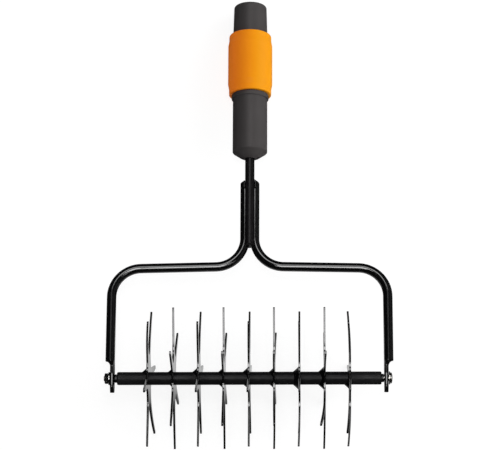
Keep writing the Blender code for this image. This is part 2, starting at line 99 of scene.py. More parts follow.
# Rods of the yoke and of the stem
seat_gap = 0.0003
rod_radius = 0.0050
rod_sides = 48
bend_radius = 0.0315
bend_steps = 28
leg_half_span = 0.14615
arm_place = 0.1199
arm_rise = 0.0028
yoke_top = 0.2157
shear_slant = {-1: 0.38, 1: 0.60}
shear_round = 0.0005
shear_round_steps = 4

# Welds of the yoke, which fill the room that the frame gives them
crotch_lump = 0.10
crotch_lump_pace = 2.2
crotch_ripple = 0.035
crotch_ripple_pace = {"x": 3.0, "y": 16.0}
crotch_most = 1.06
crotch_share = 0.97
bead_steps = 40
bead_sides = 20
bead_share = 0.9
bead_least = 0.02
bead_bluntness = 6
bead_ripple = 0.10
bead_ripple_pace = 42.0
bead_slant = 0.0003

# Pressed eye at the foot of each leg
eye_thickness = 0.0048
eye_end_thickness = 0.0044
eye_half_width = 0.0077
eye_reach = 0.0150
eye_round = 0.0055
eye_round_steps = 14
eye_end_turn = math.radians(84)
eye_squareness = 3.2
eye_flare_from = 0.0046
eye_flare_steps = 8
eye_end_half_width = 0.0085
press_foot = 0.0120
press_top = 0.0190
press_steps = 14

# Roller
tube_wall = 0.0013
tube_chamfer = 0.0012
tube_chamfer_depth = 0.0006
tube_rim_round = 0.0002
tube_chamfer_round = 0.0006
tube_steps = 72
wheel_thickness = 0.0020
wheel_reach = 0.07490
wheel_edge = 0.00022
wheel_edge_turn = 0.71
wheel_bore_gap = 0.00002
odd_wheel_turn = math.radians(-75)
even_wheel_turn = math.radians(-105)
tine_count = 6
tine_root_half_width = 0.0074
tine_tip_half_width = 0.0020
tine_corner = 0.0009
tine_side_steps = 7
valley_reach = 0.0255
bend_start = 0.0280
valley_steps = 12
corner_steps = 4
plate_rings = 10
weld_length = 0.0058
weld_height = 0.0053
weld_steps = 7
weld_turns = 90
weld_underneath = 0.6
weld_lean = math.radians(8)
weld_sink = 0.0001
weld_hollow = 0.036
weld_foot = 1.02
weld_least = 0.08
weld_wave = 0.06
weld_waves = 3
weld_ripple = 0.03
weld_ripples = 30

# How high the weld stands towards the handle, on the far side and on top, wheel by wheel
weld_above = (1.00, 0.85, 1.00, 0.85, 0.95, 0.80, 0.95, 0.98, 0.30)
weld_below = (0.30, 0.60, 0.45, 0.75, 0.80, 0.65, 0.95, 1.00, 0.80)
weld_on_top = (0.10, 0.12, 0.15, 0.12, 0.12, 0.15, 0.80, 0.35, 0.12)

# Axle and bushes
axle_radius = 0.0030
axle_chamfer = 0.0006
thread_length = 0.0120
thread_pitch = 0.0010
thread_depth = 0.0004
thread_root = 0.45
thread_crest = 0.90
head_rim = 0.0008
head_flat = 0.0004
head_steps = 18
head_foot_round = 0.0002
small_round = 0.0003
socket_across = 0.0030
socket_depth = 0.0014
nut_across_flats = 0.0100
nut_chamfer = 0.0006
nut_chamfer_slope = 1.4
nut_face = 0.97
nut_bevel = 0.0005
nut_thread_gap = 0.00005
washer_bore_round = 0.0002
washer_rim_round = 0.0004
washer_edge = 0.0001
bush_nose_wall = 0.0011
turned_steps = 64
rounding_steps = 96
hexagon = 6
cut_surplus = 0.0010

# Neck and collar
neck_steps = 128
neck_radius = 0.0186
foot_taper = 0.0081
foot_chamfer = 0.0057
foot_boss_wall = 0.0013
foot_boss_height = 0.0017
foot_boss_round = 0.0004
foot_edge_round = 0.0010
rim_round = 0.0013
rim_round_steps = 8
flange_step = 0.0014
flange_length = 0.0051
flange_chamfer = 0.0009
flange_fillet = (0.0001, 0.0002)
collar_bore_gap = 0.0006
spigot_length = 0.0345
spigot_taper = 0.00090
spigot_round = 0.0025
spigot_round_steps = 10
spigot_steps = 30
middle_flat = 0.0005
ring_below_top = 0.0188
ring_groove = 0.0010
foot_slot_width = 0.0042
foot_slot_height = 0.0046
foot_slot_place = 0.0081
foot_slot_depth = 0.0120
foot_slot_round = 0.0005
dimple_turn = math.radians(34)
dimple_from_end = 0.0046
dimple_half_size = (0.0058, 0.0018)
dimple_depth = 0.0005
dimple_edge = 1.25
dimple_slope = 0.5
dimple_skin = 0.9
pin_radius = 0.0020
pin_hole_sides = 32
collar_rim_length = 0.0062
collar_slope_length = 0.0062
collar_rim_drop = 0.0011
collar_bore_round = 0.0004
collar_slope_round = 0.0060
collar_top_round = 0.0016
collar_foot_round = 0.0008

sharp_angle = math.radians(38)
clearance = 0.00005

joints = {joint["name"]: joint for joint in frame["joints"]}
axle = Vector(joints["roller_spin"]["pos_m"])
neck_direction = Vector(joints["collar_turn"]["axis"])
tilt = math.asin(-neck_direction.z)
tool = Matrix.Translation(axle) @ Matrix.Rotation(-tilt, 4, "X")
along_x = Matrix.Rotation(math.pi / 2, 4, "Y")


def span(node):
    """The lowest and the highest corner of a node in the tool's own axes."""
    to_tool = tool.inverted()
    points = [to_tool @ vertex.co for vertex in frame["nodes"][node].data.vertices]
    lowest = Vector([min(point[axis] for point in points) for axis in range(3)])
    highest = Vector([max(point[axis] for point in points) for axis in range(3)])
    return lowest, highest


stem_low, stem_high = span("stem_rod")
neck_low, neck_high = span("neck")
collar_low, collar_high = span("lock_collar")
tube_high = span("roller_tube")[1]
bolt_low, bolt_high = span("axle_bolt")
nut_low, nut_high = span("axle_nut")
washer_low, washer_high = span("washer_right")
bush_low, bush_high = span("end_bush_right")
pin_low, pin_high = span("neck_pin")
stem_height = (stem_low.z + stem_high.z) / 2
neck_axis = tool @ Matrix.Translation((0.0, 0.0, stem_height)) @ Matrix.Rotation(-math.pi / 2, 4, "X")
pin_place = (0.0, 0.0, (pin_low.y + pin_high.y) / 2)
tube_radius = tube_high.z
rod_centre = rod_radius + seat_gap / 2


def arc(centre, radius, start, end, steps):
    """Points along a circle's arc, both ends included, with its angles in degrees."""
    points = []
    for step in range(steps + 1):
        angle = math.radians(start + (end - start) * step / steps)
        points.append((centre[0] + radius * math.cos(angle), centre[1] + radius * math.sin(angle)))
    return points


def ease(share):
    """A share between 0 and 1, eased at both ends."""
    share = max(0.0, min(1.0, share))
    return share * share * (3 - 2 * share)


def shape_of(name, mesh):
    """An object with smooth faces and sharp corners."""
    mesh.shade_smooth()
    mesh.set_sharp_from_angle(angle=sharp_angle)
    shape = bpy.data.objects.new(name, mesh)
    bpy.context.scene.collection.objects.link(shape)
    return shape


def skin(name, rings, closed=False):
    """A solid through rings of as many points each, capped at both ends or closed on itself."""
    solid = bmesh.new()
    verts = [[solid.verts.new(point) for point in ring] for ring in rings]
    following = verts[1:] + verts[:1] if closed else verts[1:]
    for ring, after in zip(verts, following):
        for side in range(len(ring)):
            beside = (side + 1) % len(ring)
            solid.faces.new((ring[side], ring[beside], after[beside], after[side]))
    if not closed:
        solid.faces.new(verts[0])
        solid.faces.new(verts[-1])
    bmesh.ops.recalc_face_normals(solid, faces=solid.faces)
    mesh = bpy.data.meshes.new(name)
    solid.to_mesh(mesh)
    solid.free()
    return shape_of(name, mesh)


def turned(name, outline, steps, closed=False, relief=None):
    """A solid turned about Z from (radius, height) points. relief gives the radius at a place on it."""
    rings = []
    for radius, height in outline:
        ring = []
        for step in range(steps):
            angle = 2 * math.pi * step / steps
            here = relief(angle, radius, height) if relief else radius
            ring.append((here * math.cos(angle), here * math.sin(angle), height))
        rings.append(ring)
    return skin(name, rings, closed)


def rounded(corner, before, after, radius, steps=4):
    """Points that round a corner of an outline between its neighbours."""
    corner, before, after = Vector(corner), Vector(before), Vector(after)
    to_before = (before - corner).normalized()
    to_after = (after - corner).normalized()
    opening = to_before.angle(to_after)
    reach = radius / math.tan(opening / 2)
    start = corner + to_before * reach
    end = corner + to_after * reach
    centre = corner + (to_before + to_after).normalized() * (radius / math.sin(opening / 2))
    points = []
    for step in range(steps + 1):
        spoke = (start - centre).lerp(end - centre, step / steps).normalized()
        points.append(tuple(centre + spoke * radius))
    return points


def softened(outline, rounds):
    """The closed outline with a round of the given radius at each corner, where it isn't zero."""
    count = len(outline)
    points = []
    for place, (corner, radius) in enumerate(zip(outline, rounds)):
        if radius:
            points += rounded(corner, outline[place - 1], outline[(place + 1) % count], radius)
        else:
            points.append(corner)
    return points


def carve(shape, cutter, operation="DIFFERENCE"):
    """Cuts the object with the cutter, which is then removed."""
    boolean = shape.modifiers.new("carve", "BOOLEAN")
    boolean.operation = operation
    boolean.solver = "EXACT"
    boolean.object = cutter
    bpy.context.view_layer.update()
    graph = bpy.context.evaluated_depsgraph_get()
    mesh = bpy.data.meshes.new_from_object(shape.evaluated_get(graph))
    mesh.set_sharp_from_angle(angle=sharp_angle)
    shape.modifiers.remove(boolean)
    shape.data = mesh
    bpy.data.objects.remove(cutter)


def placed(shape, matrix):
    """Puts the points themselves in place, so that the object's own axes stay the frame's."""
    shape.data.transform(matrix)
    return shape


def drill(shape, radius, half_length, place, sides):
    """Drills a hole along X through the place."""
    hole = turned("hole", [(radius, -half_length), (radius, half_length)], sides)
    carve(shape, placed(hole, Matrix.Translation(place) @ along_x))


def piece(shape, body, slot, finish, *nodes):
    """Finishes a piece: its shading and material, the body it rides on and the nodes it stands for. The slot
    is not used.
    """
    shape.data.materials.clear()
    shape.data.materials.append(finish)
    even = shape.modifiers.new("even_normals", "WEIGHTED_NORMAL")
    even.keep_sharp = True
    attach(shape, body)
    if nodes:
        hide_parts(*nodes)


def ranged(tree, value, low, high, to_low, to_high):
    """A node that carries the value's range from low to high over to another range, and holds its ends."""
    node = tree.nodes.new("ShaderNodeMapRange")
    ends = {"From Min": low, "From Max": high, "To Min": to_low, "To Max": to_high}
    for name, number in ends.items():
        node.inputs[name].default_value = number
    tree.links.new(value, node.inputs["Value"])
    return node


class Nodes:
    """A material's node tree, with short calls for the nodes that the finishes share."""

    def __init__(self, name):
        self.material = bpy.data.materials.new(name)
        self.material.use_nodes = True
        self.tree = self.material.node_tree
        self.shader = self.tree.nodes["Principled BSDF"]
        self.place = self.tree.nodes.new("ShaderNodeTexCoord").outputs["Object"]

    def link(self, output, target):
        self.tree.links.new(output, target)

    def noise(self, scale, detail=2.0, stretch=None):
        """Noise between 0 and 1 with features of about a metre over the scale."""
        place = self.place
        if stretch:
            mapping = self.tree.nodes.new("ShaderNodeMapping")
            mapping.inputs["Scale"].default_value = stretch
            self.link(place, mapping.inputs["Vector"])
            place = mapping.outputs["Vector"]
        texture = self.tree.nodes.new("ShaderNodeTexNoise")
        texture.inputs["Scale"].default_value = scale
        texture.inputs["Detail"].default_value = detail
        self.link(place, texture.inputs["Vector"])
        return texture.outputs["Fac"]

    def spread(self, value, *ends):
        """The value carried over to another range."""
        return ranged(self.tree, value, *ends).outputs["Result"]

    def mix(self, share, first, second):
        mixed = self.tree.nodes.new("ShaderNodeMix")
        mixed.data_type = "RGBA"
        self.link(share, mixed.inputs["Factor"])
        for colour, socket in ((first, mixed.inputs["A"]), (second, mixed.inputs["B"])):
            if isinstance(colour, tuple):
                socket.default_value = (*colour, 1.0)
            else:
                self.link(colour, socket)
        return mixed.outputs["Result"]

    def bumps(self, *layers):
        """Bump from (height, depth in metres) layers, each on top of the one before."""
        normal = None
        for height, depth in layers:
            bump = self.tree.nodes.new("ShaderNodeBump")
            bump.inputs["Distance"].default_value = depth
            self.link(height, bump.inputs["Height"])
            if normal:
                self.link(normal, bump.inputs["Normal"])
            normal = bump.outputs["Normal"]
        self.link(normal, self.shader.inputs["Normal"])

    def set(self, **values):
        for name, value in values.items():
            self.shader.inputs[name.replace("_", " ")].default_value = value


def gloss_paint(name, colour, dust, shine, rough, ripple, grain):
    """Gloss enamel: orange peel, a fine grain, and a thin veil of dust that lightens and dulls it."""
    paint = Nodes(name)
    paint.set(IOR=1.5, Specular_IOR_Level=shine)
    veil = paint.spread(paint.noise(paint_scale["dust"], detail=5.0), *paint_dust, 0.0, 1.0)
    paint.link(paint.mix(veil, colour, dust), paint.shader.inputs["Base Color"])
    patches = paint.noise(paint_scale["gloss"], detail=4.0)
    paint.link(paint.spread(patches, *noise_middle, *rough), paint.shader.inputs["Roughness"])
    peel = paint.noise(paint_scale["ripple"], detail=1.0)
    paint.bumps((peel, ripple), (paint.noise(paint_scale["grain"]), grain))
    return paint.material


def moulding(name, colour, shade, shine, rough, grain, wave, left=None):
    """Moulded plastic: an etched grain over a faint waviness, with slightly uneven colour and gloss. With
    left given, it carries painted shade: the colour turns to the left colour towards -X, away from the light
    at the right.
    """
    plastic = Nodes(name)
    plastic.set(IOR=1.46, Specular_IOR_Level=shine)
    patches = plastic.spread(plastic.noise(plastic_scale["shade"], detail=4.0), *noise_middle, 0.0, 1.0)
    mixed = plastic.mix(patches, colour, shade)
    # Painted shade: the -X side takes the darker left colour, standing in for less light there.
    if left:
        parts = plastic.tree.nodes.new("ShaderNodeSeparateXYZ")
        plastic.link(plastic.place, parts.inputs["Vector"])
        mixed = plastic.mix(plastic.spread(parts.outputs["X"], *painted_shade_span_x, 1.0, 0.0), mixed, left)
    plastic.link(mixed, plastic.shader.inputs["Base Color"])
    dull = plastic.noise(plastic_scale["gloss"], detail=3.0)
    plastic.link(plastic.spread(dull, *noise_middle, *rough), plastic.shader.inputs["Roughness"])
    swell = plastic.noise(plastic_scale["wave"], detail=1.0)
    plastic.bumps((swell, wave), (plastic.noise(plastic_scale["grain"], detail=3.0), grain))
    return plastic.material


def zinc_plate(name):
    """Bright zinc plating: faint yellow and blue patches, turning marks and a fine crystal grain."""
    zinc = Nodes(name)
    zinc.set(Metallic=1.0)
    patches = zinc.spread(zinc.noise(zinc_scale["patches"], detail=3.0), *zinc_patches, 0.0, 1.0)
    zinc.link(zinc.mix(patches, *zinc_colours), zinc.shader.inputs["Base Color"])
    dull = zinc.noise(zinc_scale["gloss"], detail=4.0)
    zinc.link(zinc.spread(dull, *noise_middle, *zinc_rough), zinc.shader.inputs["Roughness"])
    marks = zinc.noise(zinc_scale["marks"], detail=3.0, stretch=(6.0, 1.0, 1.0))
    zinc.bumps((marks, zinc_mark_depth), (zinc.noise(zinc_scale["grain"]), zinc_grain_depth))
    return zinc.material


rod_paint = gloss_paint("rod_paint", colour=(0.0022, 0.0022, 0.0024), dust=(0.0045, 0.0044, 0.0046),
                        shine=0.85, rough=(0.05, 0.11), ripple=0.000010, grain=0.000001)
stem_paint = gloss_paint("stem_paint", colour=(0.0050, 0.0042, 0.0050), dust=(0.0085, 0.0075, 0.0085),
                         shine=0.25, rough=(0.30, 0.42), ripple=0.000030, grain=0.000005)
tube_paint = gloss_paint("tube_paint", colour=(0.0105, 0.0105, 0.0115), dust=(0.0150, 0.0145, 0.0150),
                         shine=0.14, rough=(0.30, 0.44), ripple=0.000030, grain=0.000006)
plate_paint = gloss_paint("plate_paint", colour=(0.0030, 0.0030, 0.0032), dust=(0.0070, 0.0068, 0.0068),
                          shine=0.85, rough=(0.06, 0.16), ripple=0.000012, grain=0.000002)
weld_paint = gloss_paint("weld_paint", colour=(0.0030, 0.0030, 0.0032), dust=(0.0060, 0.0060, 0.0060),
                         shine=0.60, rough=(0.14, 0.28), ripple=0.000080, grain=0.000010)
# The left colours of the neck and the collar are painted shade: darker, and redder on the collar, on the side
# away from the light.
neck_plastic = moulding("neck_plastic", colour=(0.062, 0.057, 0.056), shade=(0.069, 0.063, 0.063),
                        shine=0.20, rough=(0.36, 0.48), grain=0.000030, wave=0.00005,
                        left=(0.040, 0.037, 0.037))
collar_plastic = moulding("collar_plastic", colour=(0.80, 0.292, 0.003), shade=(0.82, 0.308, 0.004),
                          shine=0.08, rough=(0.34, 0.46), grain=0.000016, wave=0.00006,
                          left=(0.96, 0.225, 0.010))
bush_plastic = moulding("bush_plastic", colour=(0.006, 0.006, 0.006), shade=(0.010, 0.010, 0.010),
                        shine=0.40, rough=(0.26, 0.38), grain=0.000020, wave=0.00003)
zinc_steel = zinc_plate("zinc_steel")


def yoke_path(side):
    """(place, direction) pairs along a yoke rod's centre line, from above its eye to its sheared top."""
    corners = [
        Vector((side * leg_half_span, press_top)),
        Vector((side * leg_half_span, arm_place)),
        Vector((side * rod_centre, arm_place + arm_rise)),
        Vector((side * rod_centre, yoke_top)),
    ]
    path = [(corners[0], (corners[1] - corners[0]).normalized())]
    for before, corner, after in zip(corners, corners[1:], corners[2:]):
        coming = (corner - before).normalized()
        going = (after - corner).normalized()
        turn = coming.angle_signed(going)
        start = corner - coming * bend_radius * math.tan(abs(turn) / 2)
        sideways = Vector((coming.y, -coming.x)) * math.copysign(1.0, turn)
        centre = start + sideways * bend_radius
        for step in range(bend_steps + 1):
            angle = abs(turn) * step / bend_steps
            spoke = sideways * -math.cos(angle) + coming * math.sin(angle)
            along = coming * math.cos(angle) + sideways * math.sin(angle)
            path.append((centre + spoke * bend_radius, along))
    path.append((corners[-1], (corners[-1] - corners[-2]).normalized()))
    return path


def section(centre, along, half_across, half_deep, squareness=2.0, slant=0.0):
    """A ring of points: an ellipse at squareness 2, nearer to a rectangle above that."""
    across = Vector((along.y, -along.x))
    ring = []
    for count in range(rod_sides):
        angle = 2 * math.pi * count / rod_sides
        wide = math.copysign(abs(math.cos(angle)) ** (2 / squareness), math.cos(angle))
        deep = math.copysign(abs(math.sin(angle)) ** (2 / squareness), math.sin(angle))
        point = centre + across * half_across * wide
        ring.append((point.x, point.y + slant * half_across * wide, half_deep * deep))
    return ring


def eye_sections(side):
    """Rings of the pressed eye, from its end up to where the rod is round. Its inner face stays flat."""
    upward = Vector((0.0, 1.0))
    inner_face = leg_half_span - rod_radius
    rings = []

    def add(place, thickness, half_width, squareness):
        centre = Vector((side * (inner_face + thickness / 2), place))
        rings.append(section(centre, upward, thickness / 2, half_width, squareness))

    def thickness_at(place):
        share = min(1.0, (place + eye_reach) / eye_reach)
        return eye_end_thickness + (eye_thickness - eye_end_thickness) * share

    for step in range(eye_round_steps):
        angle = eye_end_turn * (1 - step / eye_round_steps)
        place = -eye_reach + eye_round * (1 - math.sin(angle))
        add(place, thickness_at(place), eye_end_half_width * math.cos(angle), eye_squareness)
    for step in range(eye_flare_steps + 1):
        share = step / eye_flare_steps
        place = eye_round - eye_reach + (eye_flare_from - eye_round + eye_reach) * share
        half_width = eye_end_half_width + (eye_half_width - eye_end_half_width) * share
        add(place, thickness_at(place), half_width, eye_squareness)
    for step in range(press_steps):
        angle = math.pi / 2 * step / press_steps
        share = math.sin(angle)
        place = press_foot + (press_top - press_foot) * share
        swell = 1 - math.cos(angle)
        thickness = eye_thickness + (2 * rod_radius - eye_thickness) * swell
        half_width = eye_half_width + (rod_radius - eye_half_width) * ease(share)
        add(place, thickness, half_width, eye_squareness + (2.0 - eye_squareness) * ease(share))
    return rings


def make_yoke_rod(name, side):
    """A yoke rod: its eye, two bends and a top that is sheared aslant and a little rounded."""
    path = yoke_path(side)
    rings = eye_sections(side)
    for place, along in path[:-1]:
        rings.append(section(place, along, rod_radius, rod_radius))
    top, upward = path[-1]
    slant = -side * shear_slant[side]
    middle = top + upward * rod_radius * shear_slant[side]
    for x, y in arc((rod_radius - shear_round, -shear_round), shear_round, 0, 90, shear_round_steps):
        rings.append(section(middle + upward * y, upward, x, x, slant=slant))
    rod = skin(name, rings)
    drill(rod, axle_radius + seat_gap, rod_radius * 3, (side * leg_half_span, 0.0, 0.0), rod_sides)
    piece(placed(rod, tool), "frame", "black_paint", rod_paint, name)


def make_stem():
    """The stem, with softened ends and the hole of the neck's pin."""
    low, high = stem_low.y, stem_high.y
    rim = rod_radius - small_round
    outline = arc((rim, low + small_round), small_round, -90, 0, 4)
    outline += arc((rim, high - small_round), small_round, 0, 90, 4)
    stem = turned("stem_rod_fine", outline, rod_sides)
    drill(stem, pin_radius + seat_gap, rod_radius * 3, pin_place, pin_hole_sides)
    piece(placed(stem, neck_axis), "frame", "black_paint", stem_paint, "stem_rod")


def make_crotch_weld():
    """The lump of weld in the crotch, uneven and faintly rippled."""
    low, high = span("crotch_weld")
    half = (high - low) / 2
    blob = bmesh.new()
    bmesh.ops.create_icosphere(blob, subdivisions=4, radius=1.0)
    for vert in blob.verts:
        lump = crotch_lump * noise.noise(vert.co * crotch_lump_pace)
        turn = vert.co.y * crotch_ripple_pace["y"] + vert.co.x * crotch_ripple_pace["x"]
        reach = min(1.0 + lump + crotch_ripple * math.sin(turn), crotch_most) * crotch_share
        vert.co = Vector([vert.co[axis] * half[axis] * reach for axis in range(3)]) + (low + high) / 2
    mesh = bpy.data.meshes.new("crotch_weld_fine")
    blob.to_mesh(mesh)
    blob.free()
    weld = placed(shape_of("crotch_weld_fine", mesh), tool)
    piece(weld, "frame", "black_paint", weld_paint, "crotch_weld")


def make_top_weld(name):
    """A short rippled bead in the groove between the stem and a yoke rod."""
    low, high = span(name)
    centre = (low + high) / 2
    rings = []
    for step in range(bead_steps + 1):
        share = step / bead_steps
        swell = math.sqrt(max(bead_least, 1 - (2 * share - 1) ** bead_bluntness))
        swell *= 1 + bead_ripple * math.sin(share * bead_ripple_pace)
        radius = (high.x - low.x) / 2 * swell * bead_share
        y = low.y + (high.y - low.y) * share
        ring = []
        for count in range(bead_sides):
            angle = 2 * math.pi * count / bead_sides
            across, upward = math.cos(angle), math.sin(angle)
            ring.append((centre.x + radius * across, y + bead_slant * upward, centre.z + radius * upward))
        rings.append(ring)
    piece(placed(skin(name + "_fine", rings), tool), "frame", "black_paint", weld_paint, name)


def make_tube():
    """The roller's tube, chamfered at both ends."""
    half = tube_high.x
    bore = tube_radius - tube_wall
    narrow = tube_radius - tube_chamfer_depth
    corners = [(bore, half), (narrow, half), (tube_radius, half - tube_chamfer)]
    corners += [(tube_radius, tube_chamfer - half), (narrow, -half), (bore, -half)]
    rim, side = tube_rim_round, tube_chamfer_round
    outline = softened(corners, (rim, rim, side, side, rim, rim))
    tube = turned("roller_tube_fine", outline, tube_steps, closed=True)
    piece(placed(tube, tool @ along_x), "roller", "black_paint", tube_paint, "roller_tube")


def star_outline():
    """The wheel's outline: each tine's two sides and rounded tip in turn, and the round valley after it."""
    slope = (tine_root_half_width - tine_tip_half_width) / wheel_reach
    lean = math.atan(slope)
    half_pitch = math.pi / tine_count
    across = math.sin(half_pitch) + slope * math.cos(half_pitch)
    stretch = math.hypot(1.0, slope)
    valley_centre = (valley_reach * stretch - tine_root_half_width) / (stretch - across)
    valley_radius = valley_centre - valley_reach
    corner_place = wheel_reach - tine_corner
    corner_side = tine_tip_half_width - tine_corner
    lean_degrees = math.degrees(lean)
    valley_start = 270 - lean_degrees
    valley_end = 90 + 360 / tine_count + lean_degrees
    valley_middle = (valley_centre * math.cos(half_pitch), valley_centre * math.sin(half_pitch))
    valley = arc(valley_middle, valley_radius, valley_start, valley_end, valley_steps)
    low_tip = arc((corner_place, -corner_side), tine_corner, lean_degrees - 90, 0, corner_steps)
    high_tip = arc((corner_place, corner_side), tine_corner, 0, 90 - lean_degrees, corner_steps)
    root = Vector(valley[0])
    shoulder = Vector(high_tip[-1])
    side = [tuple(shoulder.lerp(root, step / tine_side_steps)) for step in range(1, tine_side_steps)]
    tine = [(x, -y) for x, y in reversed(side)] + low_tip + high_tip + side + valley
    outline = []
    for count in range(tine_count):
        turn = Matrix.Rotation(2 * half_pitch * count, 2)
        outline += [turn @ Vector(point) for point in tine]
    return outline


def inward(outline):
    """The outline's unit normals, turned into the plate."""
    count = len(outline)
    normals = []
    for place in range(count):
        along = (outline[(place + 1) % count] - outline[place - 1]).normalized()
        normals.append(Vector((-along.y, along.x)))
    return normals


def plate_points(outline, bend):
    """Rings of the plate from its bore over one face, round its edge and back over the other face."""
    normals = inward(outline)
    bore = tube_radius + wheel_bore_gap
    half = wheel_thickness / 2
    flat = half - wheel_edge
    rings = []

    def add(share, inset, height):
        ring = []
        for point, normal in zip(outline, normals):
            edge = point + normal * inset
            start = edge.normalized() * bore
            place = start.lerp(edge, share)
            ring.append((place.x, place.y, height + bend(place)))
        rings.append(ring)

    for step in range(plate_rings + 1):
        add(step / plate_rings, wheel_edge, half)
    add(1.0, wheel_edge * (1 - wheel_edge_turn), flat + wheel_edge * wheel_edge_turn)
    add(1.0, 0.0, flat)
    add(1.0, 0.0, -flat)
    add(1.0, wheel_edge * (1 - wheel_edge_turn), -flat - wheel_edge * wheel_edge_turn)
    for step in range(plate_rings, -1, -1):
        add(step / plate_rings, wheel_edge, -half)
    return rings


def weld_points(count, first):
    """Rings of a wheel's weld, a hollow fillet whose height changes round the tube as it was laid."""
    draw = random.Random(count)
    waves = [(draw.uniform(2, 5), draw.uniform(0, 2 * math.pi)) for _ in range(weld_waves)]
    base = tube_radius - weld_sink
    low = wheel_thickness / 2 - weld_sink * 2
    rings = []
    for turn in range(weld_turns):
        angle = 2 * math.pi * turn / weld_turns
        toward_handle = math.cos(first - angle - weld_lean)
        upward = math.sin(first - angle - weld_lean)
        size = (weld_above if toward_handle > 0 else weld_below)[count - 1] * toward_handle ** 2
        size += (weld_on_top[count - 1] if upward > 0 else weld_underneath) * upward ** 2
        size += weld_wave * sum(math.sin(pace * angle + start) for pace, start in waves) / weld_waves
        size += weld_ripple * math.sin(angle * weld_ripples)
        size = max(weld_least, min(1.0, size))
        ring = [(base, low)]
        for step in range(weld_steps + 1):
            part = step / weld_steps
            hollow = 1 - weld_hollow * math.sin(math.pi * part)
            radius = tube_radius + weld_height * size * (1 - part) * hollow
            ring.append((radius, wheel_thickness / 2 + weld_length * size * part * hollow))
        ring.append((base, low + weld_length * size * weld_foot))
        rings.append([(radius * math.cos(angle), radius * math.sin(angle), z) for radius, z in ring])
    return rings


# Tines that were knocked out of line: for each wheel, the tine's angle about the axle in degrees,
# from the handle's side over the top, and how far its tip lies to the right
bent_tines = {
    1: {-15: 0.0012, 45: 0.0021, 225: 0.0031, 285: 0.0016},
    2: {-45: 0.0008, 195: 0.0004, 255: 0.0008},
    3: {-15: 0.0008, 45: 0.0005, 285: 0.0005},
    4: {-45: 0.0006, 75: 0.0004},
    5: {45: 0.0006},
    6: {-45: 0.0010, 75: 0.0005, 135: 0.0005, 195: -0.0006},
    7: {165: -0.0010, 225: -0.0010},
    8: {75: 0.0008, 135: -0.0043, 195: -0.0008},
    9: {-15: -0.0016, 45: -0.0020, 105: -0.0010, 165: -0.0023, 225: -0.0021, 285: -0.0010},
}


def make_wheel(count):
    """One star wheel: the stamped plate and the weld on its left."""
    name = "tine_wheel_%d" % count
    low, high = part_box(name)
    right = high.x - wheel_thickness / 2
    first = odd_wheel_turn if count % 2 else even_wheel_turn
    outline = star_outline()
    bent = {degrees % 360: tip for degrees, tip in bent_tines[count].items()}

    def bend(place):
        # Local angles run backwards from the first tine.
        degrees = math.degrees(first) - math.degrees(math.atan2(place.y, place.x))
        pitch = 360 / tine_count
        tine = round(math.degrees(first) + pitch * round((degrees - math.degrees(first)) / pitch)) % 360
        share = max(0.0, (place.length - bend_start) / (wheel_reach - bend_start))
        return -bent.get(tine, 0.0) * share * share

    plate = skin(name + "_fine", plate_points(outline, bend), closed=True)
    # Local X points along the first tine and local Z to the left, along the roller.
    turn = Matrix(((0, 0, -1, 0), (math.cos(first), math.sin(first), 0, 0),
                   (math.sin(first), -math.cos(first), 0, 0), (0, 0, 0, 1)))
    place = Matrix.Translation((right, axle.y, axle.z)) @ turn
    piece(placed(plate, place), "roller", "wheel_paint", plate_paint, name)
    weld = skin("wheel_weld_%d" % count, weld_points(count, first), closed=True)
    piece(placed(weld, place), "roller", "wheel_paint", weld_paint)


def make_bush(name, side):
    """A bush with a softened nose. Its body fills the tube's end."""
    bore = axle_radius + seat_gap
    nose = bore + bush_nose_wall
    body = tube_radius - tube_wall - seat_gap
    body_end = tube_high.x
    corners = [(bore, bush_high.x), (nose, bush_high.x), (nose, body_end), (body, body_end)]
    corners += [(body, bush_low.x), (bore, bush_low.x)]
    outline = softened(corners, (small_round, small_round, 0, small_round, small_round, 0))
    bush = turned(name + "_fine", outline, turned_steps, closed=True)
    turn = Matrix.Rotation(side * math.pi / 2, 4, "Y")
    piece(placed(bush, tool @ turn), "roller", "bush_plastic", bush_plastic, name)


def make_axle_bolt():
    """The through bolt: a low domed head with a socket, and a chamfered end that shows its last threads."""
    head_end = bolt_high.x
    head_radius = bolt_high.z
    clamp = washer_high.x + seat_gap
    dome = head_end - clamp - head_rim
    outline = [(head_flat, head_end)]
    for step in range(1, head_steps + 1):
        angle = math.pi / 2 * step / head_steps
        outline.append((head_radius * math.sin(angle), clamp + head_rim + dome * math.cos(angle)))
    foot = (head_radius - head_foot_round, clamp + head_foot_round)
    outline += arc(foot, head_foot_round, 0, -90, 3)
    outline += [(axle_radius, clamp)]
    end = bolt_low.x
    place = end + thread_length
    outline.append((axle_radius, place))
    while place > end + axle_chamfer + thread_pitch:
        outline.append((axle_radius - thread_depth, place - thread_pitch * thread_root))
        outline.append((axle_radius, place - thread_pitch * thread_crest))
        outline.append((axle_radius, place - thread_pitch))
        place -= thread_pitch
    outline += [(axle_radius, end + axle_chamfer), (axle_radius - axle_chamfer, end)]
    bolt = turned("axle_bolt_fine", outline, turned_steps)
    corner = socket_across / math.sqrt(3)
    socket = [(corner, head_end - socket_depth), (corner, head_end + cut_surplus)]
    carve(bolt, turned("socket", socket, hexagon))
    piece(placed(bolt, tool @ along_x), "frame", "zinc_steel", zinc_steel, "axle_bolt")


